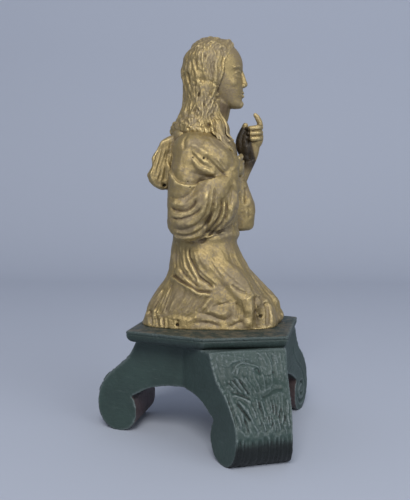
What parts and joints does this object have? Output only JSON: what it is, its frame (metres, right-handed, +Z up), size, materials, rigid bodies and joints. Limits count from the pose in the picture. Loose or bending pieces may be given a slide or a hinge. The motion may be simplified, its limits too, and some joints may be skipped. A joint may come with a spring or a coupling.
{
  "type": "kneeling angel statue",
  "caption": "Carved and gilded kneeling angel with one raised hand and broken wing roots, on a moulded hexagonal board over a dark stand with scroll legs.",
  "frame": {"origin": "centre of the object's bounding box, on the floor under the feet of the stand", "axes": "+Z up; the figure faces -Y and its left side is towards +X; the rear foot points to +Y"},
  "size_m": [0.3036, 0.2526, 0.4843],
  "materials": {
    "gilded_wood": "worn gold over brown ground, satin",
    "board_paint": "dark green paint, rubbed and dusty",
    "stand_paint": "dark green paint, rubbed pale on the carving"
  },
  "bodies": {
    "root": {"angel_figure": "gilded_wood", "top_board": "board_paint", "scroll_stand": "stand_paint"}
  },
  "joints": []
}
